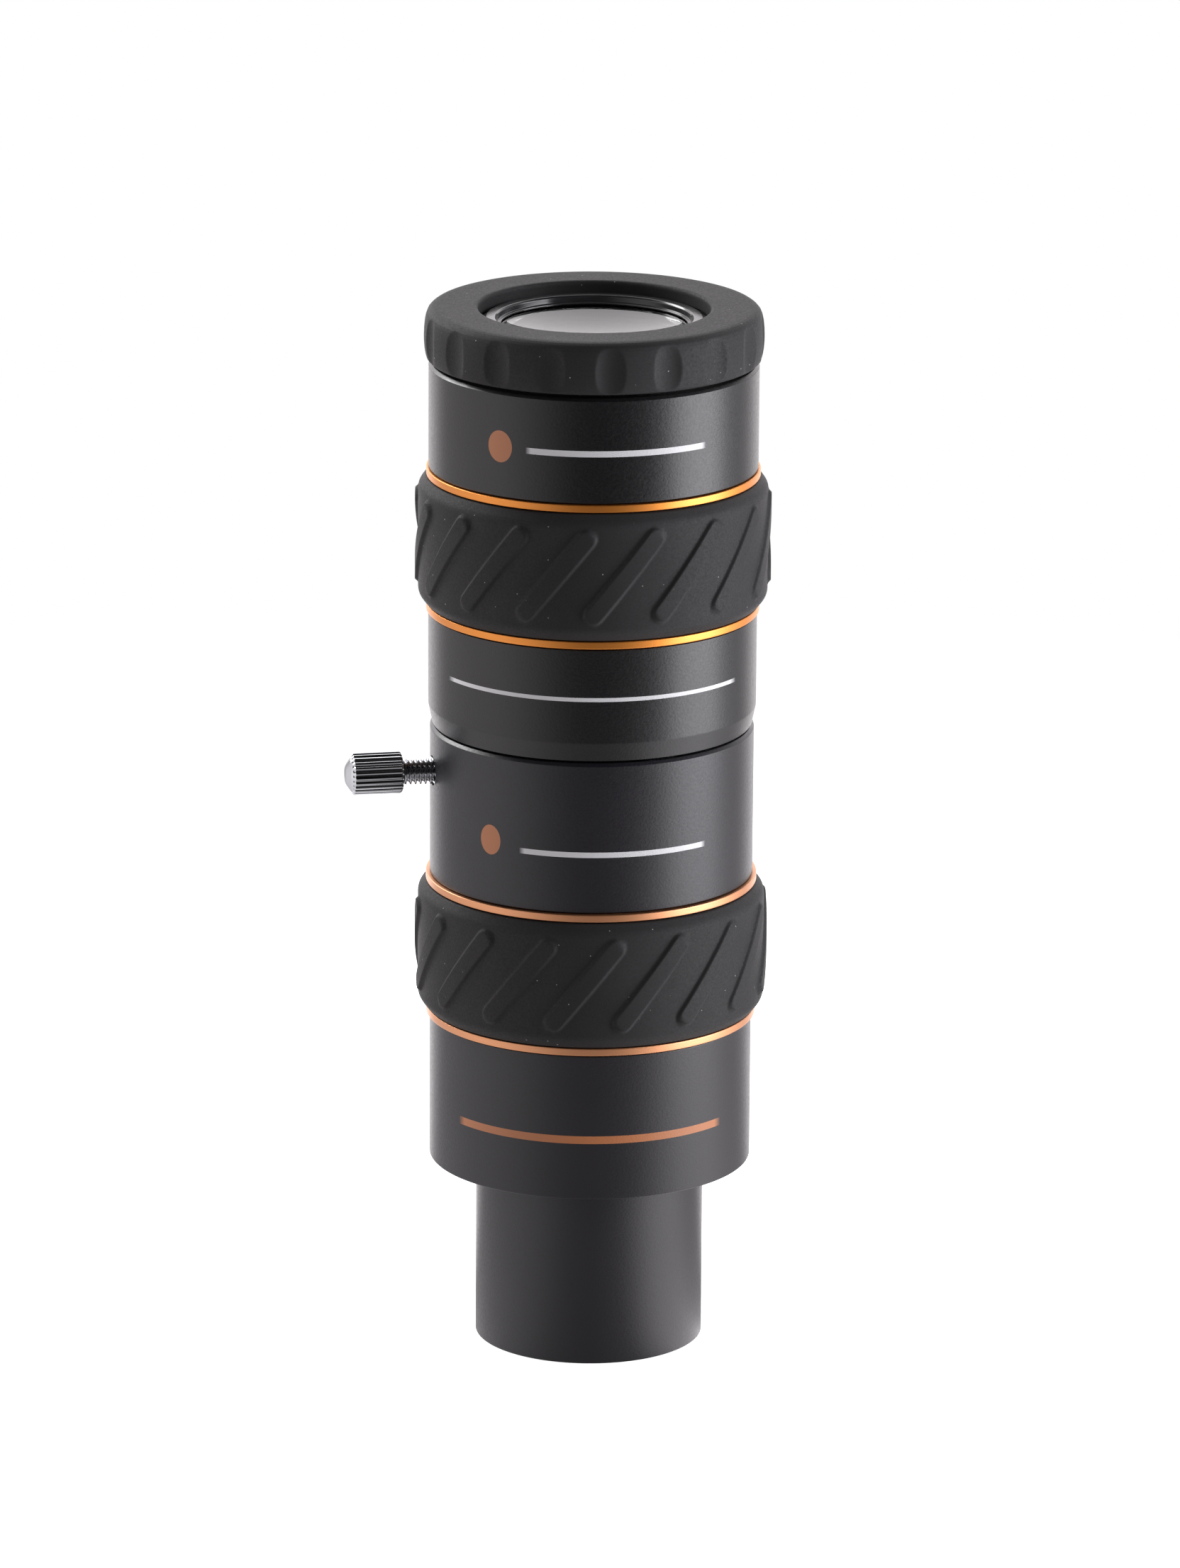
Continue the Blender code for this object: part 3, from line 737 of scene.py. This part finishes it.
def make_eyepiece_optics():
    """The lens tube, the lipped ring and hollow lens in the eyecup, and the field lens with its ring."""
    foot, top = foot_and_top("optics_tube")
    corners = [
        (12.4, foot, 0.1), (16.7, foot, 0.1), (16.7, 101.0), (16.0, 101.0), (16.0, top, 0.15),
        (15.2, top, 0.1), (15.2, 144.05), (13.9, 144.05), (13.9, 108.0), (12.4, 108.0),
    ]
    stand_for(turned("lens_tube", corners), "optics_tube", finishes["dark"])

    foot, top = foot_and_top("eye_lens_ring")
    corners = [
        (12.95, foot, 0.1), (14.9, foot, 0.1), (14.9, top - 0.05, 0.04), (14.8, top, 0.04), (13.6, top, 0.06),
        (13.4, top - 0.25, 0.08), (13.3, 144.82, 0.06), (12.8, 144.78, 0.05), (12.75, 144.63, 0.03),
        (12.95, 144.63),
    ]
    stand_for(turned("eye_ring", corners), "eye_lens_ring", finishes["grey"])

    glass = ground_lens("eye_glass", outer_radius("eye_lens"), 142.0, 144.6, 1.3, -1.5)
    stand_for(glass, "eye_lens", finishes["glass"])
    field = ground_lens("field_glass", outer_radius("field_lens"), 66.5, 69.5, 0.0, -0.9)
    stand_for(field, "field_lens", finishes["glass"])
    foot, top = foot_and_top("field_lens_ring")
    corners = [(12.6, foot, 0.35), (14.0, foot, 0.1), (14.0, top, 0.1), (12.6, top, 0.1)]
    ring = turned("field_lock_ring", corners)
    cut_box(ring, (-15, -0.6, foot - 0.3), (15, 0.6, foot + 0.5))
    stand_for(ring, "field_lens_ring", finishes["dark"])


def make_eyecup():
    """The rubber cup: a barrel-shaped side with upright scoops, and the metal sleeve that it sits on."""
    foot, top = foot_and_top("eyecup")
    hole, widest = 15.9, 23.29
    side = [
        (22.7, foot), (22.95, foot + 0.25), (23.08, foot + 0.7), (23.2, foot + 1.4), (23.28, foot + 2.4),
        (widest, foot + 3.2), (23.25, foot + 4.2), (23.14, foot + 5.3), (23.0, foot + 5.95),
        (22.82, foot + 6.4), (22.55, foot + 6.72), (22.2, top - 0.14), (21.8, top - 0.03), (21.3, top),
    ]
    rim_corners = [
        (21.2, top), (hole, top, 0.55), (hole, 145.2, 0.1), (21.0, 145.2), (21.0, foot, 0.2), (22.6, foot),
    ]
    rim = rounded(rim_corners, closed=False)
    fine_side = [Vector(p) for p in side]
    for _ in range(2):
        refined = []
        for a, b in zip(fine_side, fine_side[1:]):
            refined += [a, (a + b) / 2]
        fine_side = refined + [fine_side[-1]]
    outline = fine_side + with_edge_rows(rim, closed=False)[1:]

    centre = widest - FLUTE_DEPTH + FLUTE_RADIUS
    pitch = math.tau / FLUTE_COUNT

    def fluted(angle, radius, height):
        if radius > 21.9:
            aside = from_nearest(angle, pitch)
            inside = FLUTE_RADIUS**2 - (centre * math.sin(aside)) ** 2
            if inside > 0:
                scoop = centre * math.cos(aside) - math.sqrt(inside)
                radius = soft_min(radius, scoop, 0.05)
        return angle + math.radians(FLUTE_ANGLE), radius, height

    shares = (0, 0.06, 0.12, 0.16, 0.19, 0.215, 0.235, 0.255, 0.275, 0.3, 0.34, 0.4, 0.45, 0.5)
    cup = spin("rubber_cup", outline, column_angles(FLUTE_COUNT, mirrored(shares)), fluted)
    stand_for(cup, "eyecup", finishes["rubber"])

    foot, top = foot_and_top("eyecup_sleeve")
    corners = [
        (19.3, foot, 0.1), (20.7, foot, 0.15), (20.7, top, 0.1), (16.4, top, 0.1), (16.4, 144.3, 0.1),
        (19.3, 144.3),
    ]
    stand_for(turned("cup_sleeve", corners), "eyecup_sleeve", finishes["dark"])


def finish_inner_nodes():
    """The sealed pieces keep their CAD shape. The sealed glass gets an opaque near-black finish, painted
    shade in place of clear glass; the rest get the inner black.
    """
    for node, piece in frame["nodes"].items():
        if node in stood_for:
            continue
        piece.data.materials.clear()
        # Sealed glass gets painted shade: opaque near-black in place of clear glass
        piece.data.materials.append(finishes["shade_painted_glass" if SLOT_OF[node] == "coated_glass" else "dark"])


# ---------------------------------------------------------------- the studio


def make_camera():
    data = bpy.data.cameras.new("camera")
    data.lens = CAMERA_LENS
    data.sensor_width = 36
    data.clip_start = 0.05
    camera = bpy.data.objects.new("camera", data)
    bpy.context.scene.collection.objects.link(camera)
    turn = Matrix.Rotation(math.pi / 2 - CAMERA_TILT, 4, "X") @ Matrix.Rotation(CAMERA_LEAN, 4, "Z")
    camera.matrix_world = Matrix.Translation(CAMERA_PLACE) @ turn
    bpy.context.scene.camera = camera


def softbox(name, place, size, radiance, tint=(1, 1, 1)):
    """A rectangular lamp that faces the part. radiance is in W/m2/sr."""
    data = bpy.data.lights.new(name, "AREA")
    data.shape = "RECTANGLE"
    data.size, data.size_y = size
    data.energy = radiance * math.pi * size[0] * size[1]
    data.color = tint
    lamp = bpy.data.objects.new(name, data)
    bpy.context.scene.collection.objects.link(lamp)
    lamp.location = place
    aim = LAMP_AIM - Vector(place)
    lamp.rotation_euler = aim.to_track_quat("-Z", "Y").to_euler()
    lamp.visible_camera = False


def fill_ramp(ramp, levels):
    """Sets the stops of a ramp that runs from -180 to 180 degrees. levels holds (degrees, radiance)."""
    for spare in list(ramp.elements)[1:]:
        ramp.elements.remove(spare)
    for i, (degrees, level) in enumerate(levels):
        place = (degrees + 180) / 360
        element = ramp.elements[0] if i == 0 else ramp.elements.new(place)
        element.position = place
        element.color = [level / ROOM_STRENGTH * tint for tint in (1, 0.965, 0.985)] + [1]


def make_room():
    """The world: white paper for the camera, and for light a room that is dark in front and bright behind."""
    world = bpy.data.worlds.new("studio")
    bpy.context.scene.world = world
    world.use_nodes = True
    nodes, links = world.node_tree.nodes, world.node_tree.links

    def maths(operation, a, b=0.0):
        node = nodes.new("ShaderNodeMath")
        node.operation = operation
        for socket, value in zip(node.inputs, (a, b)):
            if isinstance(value, bpy.types.NodeSocket):
                links.new(value, socket)
            else:
                socket.default_value = value
        return node.outputs[0]

    split = nodes.new("ShaderNodeSeparateXYZ")
    links.new(nodes.new("ShaderNodeTexCoord").outputs["Generated"], split.inputs[0])
    x, y, z = split.outputs
    turn = maths("ARCTAN2", x, maths("MULTIPLY", y, -1.0))  # from the front towards the right
    share = maths("ADD", maths("DIVIDE", turn, math.tau), 0.5)
    ramp = nodes.new("ShaderNodeValToRGB")
    links.new(share, ramp.inputs[0])
    fill_ramp(ramp.color_ramp, ROOM_LEVELS)
    height = nodes.new("ShaderNodeMapRange")
    links.new(z, height.inputs["Value"])
    limits = {
        "From Min": CEILING_START, "From Max": CEILING_END,
        "To Min": ROOM_STRENGTH, "To Max": CEILING_STRENGTH,
    }
    for socket, value in limits.items():
        height.inputs[socket].default_value = value
    room = nodes["Background"]
    links.new(ramp.outputs[0], room.inputs["Color"])
    links.new(height.outputs[0], room.inputs["Strength"])

    paper = nodes.new("ShaderNodeBackground")
    paper.inputs["Color"].default_value = (1, 1, 1, 1)
    mix = nodes.new("ShaderNodeMixShader")
    links.new(nodes.new("ShaderNodeLightPath").outputs["Is Camera Ray"], mix.inputs[0])
    links.new(room.outputs[0], mix.inputs[1])
    links.new(paper.outputs[0], mix.inputs[2])
    links.new(mix.outputs[0], nodes["World Output"].inputs["Surface"])


def make_studio():
    """A strong box at the right, one above and behind, a small one at the left and behind, and the floor."""
    make_room()
    softbox("right_box", (0.873, -0.205, 0.10), (0.66, 1.15), 6.7, (0.98, 0.98, 1.03))
    softbox("back_box", (0.0, 0.58, 0.78), (1.00, 0.42), 2.4)
    softbox("left_back_box", (-0.61, 0.44, 0.57), (0.34, 0.34), 14.0)
    make_floor()
    make_bounce_card()


def disc(name, radius, height, finish, fade_start, fade_end):
    """A round sheet of the stage that fades out towards its edge and is clear from below."""
    mesh = bmesh.new()
    bmesh.ops.create_circle(mesh, cap_ends=True, segments=96, radius=radius)
    data = bpy.data.meshes.new(name)
    mesh.to_mesh(data)
    mesh.free()
    sheet = bpy.data.objects.new(name, data)
    sheet.location.z = height
    bpy.context.scene.collection.objects.link(sheet)
    away = finish.add("ShaderNodeVectorMath", {0: finish.place}, operation="LENGTH").outputs["Value"]
    inputs = {"Value": away, "From Min": fade_start, "From Max": fade_end}
    fade = finish.add("ShaderNodeMapRange", inputs, interpolation_type="SMOOTHSTEP").outputs[0]
    from_below = finish.add("ShaderNodeNewGeometry").outputs["Backfacing"]
    gone = finish.maths("MAXIMUM", fade, from_below)
    clear = finish.add("ShaderNodeBsdfTransparent")
    blend = finish.add("ShaderNodeMixShader", {0: gone, 1: finish.shader.outputs[0], 2: clear.outputs[0]})
    finish.links.new(blend.outputs[0], finish.nodes["Material Output"].inputs["Surface"])
    data.materials.append(finish.material)
    return sheet


def make_floor():
    """White paper, which only the camera sees."""
    finish = Finish("white_paper", (0.92, 0.92, 0.92), 0.9, Specular_IOR_Level=0.1, Emission_Strength=0.72)
    finish.shader.inputs["Emission Color"].default_value = (1, 1, 1, 1)
    finish.bump(finish.noise(1500, 2), 0.01, 0.1)
    sheet = disc("paper_floor", 0.42, 0.0, finish, 0.17, 0.40)
    sheet.visible_shadow = sheet.visible_glossy = sheet.visible_diffuse = False


def make_bounce_card():
    """What the floor sends up to the part: bright at the right and the back, dim in front."""
    black = (0.0, 0.0, 0.0)
    finish = Finish("bounce_card", black, 1.0, Specular_IOR_Level=0.0, Emission_Strength=ROOM_STRENGTH)
    angle, _ = finish.angle_and_height()
    share = finish.maths("ADD", finish.maths("DIVIDE", angle, math.tau), 0.5)
    ramp = finish.add("ShaderNodeValToRGB", {0: share})
    fill_ramp(ramp.color_ramp, FLOOR_LEVELS)
    finish.feed("Emission Color", ramp.outputs[0])
    card = disc("bounce_card", 0.60, -0.0005, finish, 0.13, 0.45)
    card.visible_camera = False


make_camera()
make_nose()
make_cell()
make_housing()
make_trim_ring("lower_trim_ring", finishes["copper"])
make_trim_ring("upper_trim_ring", finishes["copper"])
make_trim_ring("eyepiece_lower_trim_ring", finishes["orange"])
make_trim_ring("eyepiece_upper_trim_ring", finishes["orange"])
make_grip("lower_grip")
make_grip("eyepiece_grip")
make_thumbscrew()
make_compression_ring()
make_eyepiece_shells()
make_eyepiece_optics()
make_eyecup()
make_studio()
bpy.context.scene.view_settings.view_transform = "Standard"

finish_inner_nodes()
